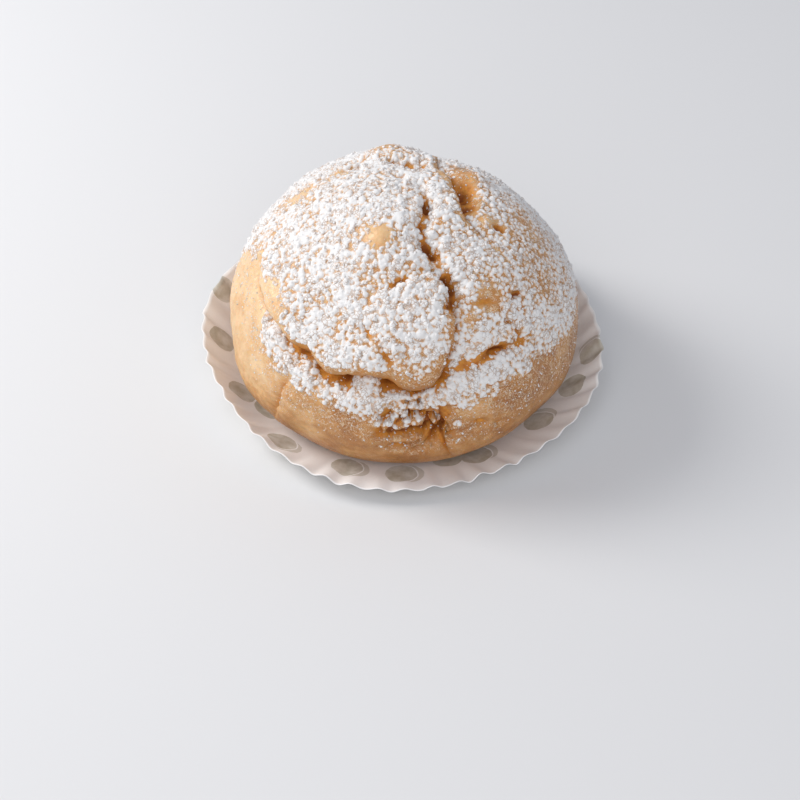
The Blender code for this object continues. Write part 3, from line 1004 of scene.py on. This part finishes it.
# millimetres along the flat sheet from the middle of a dot
def farFrom(graph, sheet, turn, reach):
    scale = paperSettings["sheetScale"]
    middle = (0.5 + scale * reach * math.sin(turn), 0.5 + scale * reach * math.cos(turn), 0.0)
    far = graph.make("ShaderNodeVectorMath", {"operation": "DISTANCE"}, {0: sheet, 1: middle}, 1)
    return far * (1 / scale)


def paperMaterial():
    ps = paperSettings
    material, graph, shader = newMaterial("printed paper")
    place = objectPlace(graph)
    sheet = graph.make("ShaderNodeUVMap", {"uv_map": "flat sheet"})
    cloud = grain(graph, place, 12 * mm, 3.0)
    fibre = grain(graph, place, 0.6 * mm, 4.0, 0.7)
    edgeNoise = grain(graph, place, 1.6 * mm, 2.0)
    dots = None
    rings = None
    for azimuth, inset, second in ps["dots"]:
        turn = math.pi - math.radians(azimuth)
        reach = ps["floorRadius"] + alongPaper(turn, 1.0) - inset
        far = farFrom(graph, sheet, turn, reach)
        dots = far if dots is None else dots.sum("MINIMUM", dots, far)
        if second:
            far = farFrom(graph, sheet, turn - ps["secondPrint"] / reach, reach)
            rings = far if rings is None else rings.sum("MINIMUM", rings, far)
    wobble = (edgeNoise - 0.5) * 0.5
    inner = ps["dotRadius"] - ps["dotBlur"]
    outer = ps["dotRadius"] + ps["dotBlur"]
    nearClear, farClear = ps["clearRing"]
    inside = 1.0 - (dots + wobble).step(inner, outer)
    clear = (dots + wobble).step(ps["dotRadius"] + nearClear, ps["dotRadius"] + farClear)
    crescent = (1.0 - (rings + wobble).step(inner, outer)) * clear
    faded = grain(graph, place, 3 * mm, 3.0)
    ink = inside.sum("MAXIMUM", inside * (0.5 + (faded - 0.5) * 0.9), crescent * 0.4).clamped()
    paperColor = colorRamp(graph, ps["paper"], cloud * 0.6 + fibre * 0.4)
    color = blendColors(graph, ink, paperColor, ps["ink"])
    relief = reliefFrom(graph, fibre, 0.25, 0.1 * mm)
    setShader(shader, {"Base Color": color, "Roughness": 0.62 + (fibre - 0.5) * 0.3, "Normal": relief},
              **{"Specular IOR Level": 0.35})
    return material


stageSettings = {
    "floorSize": 3.0,
    "floorHeight": -0.0002,
    "floorColor": (0.70, 0.69, 0.68),
    "worldColor": (0.86, 0.90, 1.0),
    "worldStrength": 0.56,
    "keyPlace": (-0.54, 0.16, 0.46),
    "keySize": 0.30,
    "keyPower": 3.7,
    "fillPlace": (-0.10, -0.75, 0.60),
    "fillSize": 0.9,
    "fillPower": 3.4,
    "lightsAim": (0, 0, 0.02),
    "cameraPlace": (-0.0010, -0.3714, 0.3370),
    "cameraPitch": 43.22,
    "cameraField": 24.0,
}


def buildStage():
    st = stageSettings
    bm = bmesh.new()
    bmesh.ops.create_grid(bm, x_segments=1, y_segments=1, size=st["floorSize"] / 2)
    mesh = bpy.data.meshes.new("floor")
    bm.to_mesh(mesh)
    bm.free()
    floor = bpy.data.objects.new("floor", mesh)
    bpy.context.scene.collection.objects.link(floor)
    floor.location.z = st["floorHeight"]
    material, _, shader = newMaterial("pale floor")
    setShader(shader, None, **{"Base Color": (*st["floorColor"], 1.0), "Roughness": 0.8})
    mesh.materials.append(material)
    world = bpy.data.worlds.new("studio")
    world.use_nodes = True
    sky = world.node_tree.nodes["Background"]
    sky.inputs["Color"].default_value = (*st["worldColor"], 1.0)
    sky.inputs["Strength"].default_value = st["worldStrength"]
    bpy.context.scene.world = world
    for name in ("key", "fill"):
        light = bpy.data.lights.new(name, "AREA")
        light.size = st[name + "Size"]
        light.energy = st[name + "Power"]
        lamp = bpy.data.objects.new(name, light)
        bpy.context.scene.collection.objects.link(lamp)
        lamp.location = st[name + "Place"]
        aim = Vector(st["lightsAim"]) - lamp.location
        lamp.rotation_euler = aim.to_track_quat("-Z", "Y").to_euler()
    lens = bpy.data.cameras.new("camera")
    lens.sensor_width = 36.0
    lens.lens = lens.sensor_width / 2 / math.tan(math.radians(st["cameraField"] / 2))
    lens.clip_start = 0.01
    camera = bpy.data.objects.new("camera", lens)
    bpy.context.scene.collection.objects.link(camera)
    camera.location = st["cameraPlace"]
    camera.rotation_euler = (math.radians(90 - st["cameraPitch"]), 0, 0)
    bpy.context.scene.camera = camera
    bpy.context.scene.view_settings.view_transform = "Standard"


puffLow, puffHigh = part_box("puff")
caseLow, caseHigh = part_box("paper_case")
puffRadius = 0.5 * (puffHigh.x - puffLow.x) / mm
rimRadius = 0.5 * (caseHigh.x - caseLow.x) / mm - paperSettings["rimBeyond"]

buildStage()
buildPaper()
crust = buildCrust()
sugar = sugarMaterial()
coat = buildCoat(crust, sugar)
for kindName, kind in lumpKinds.items():
    buildSugar(kindName, coat if kind["on"] == "coat" else crust, sugar)
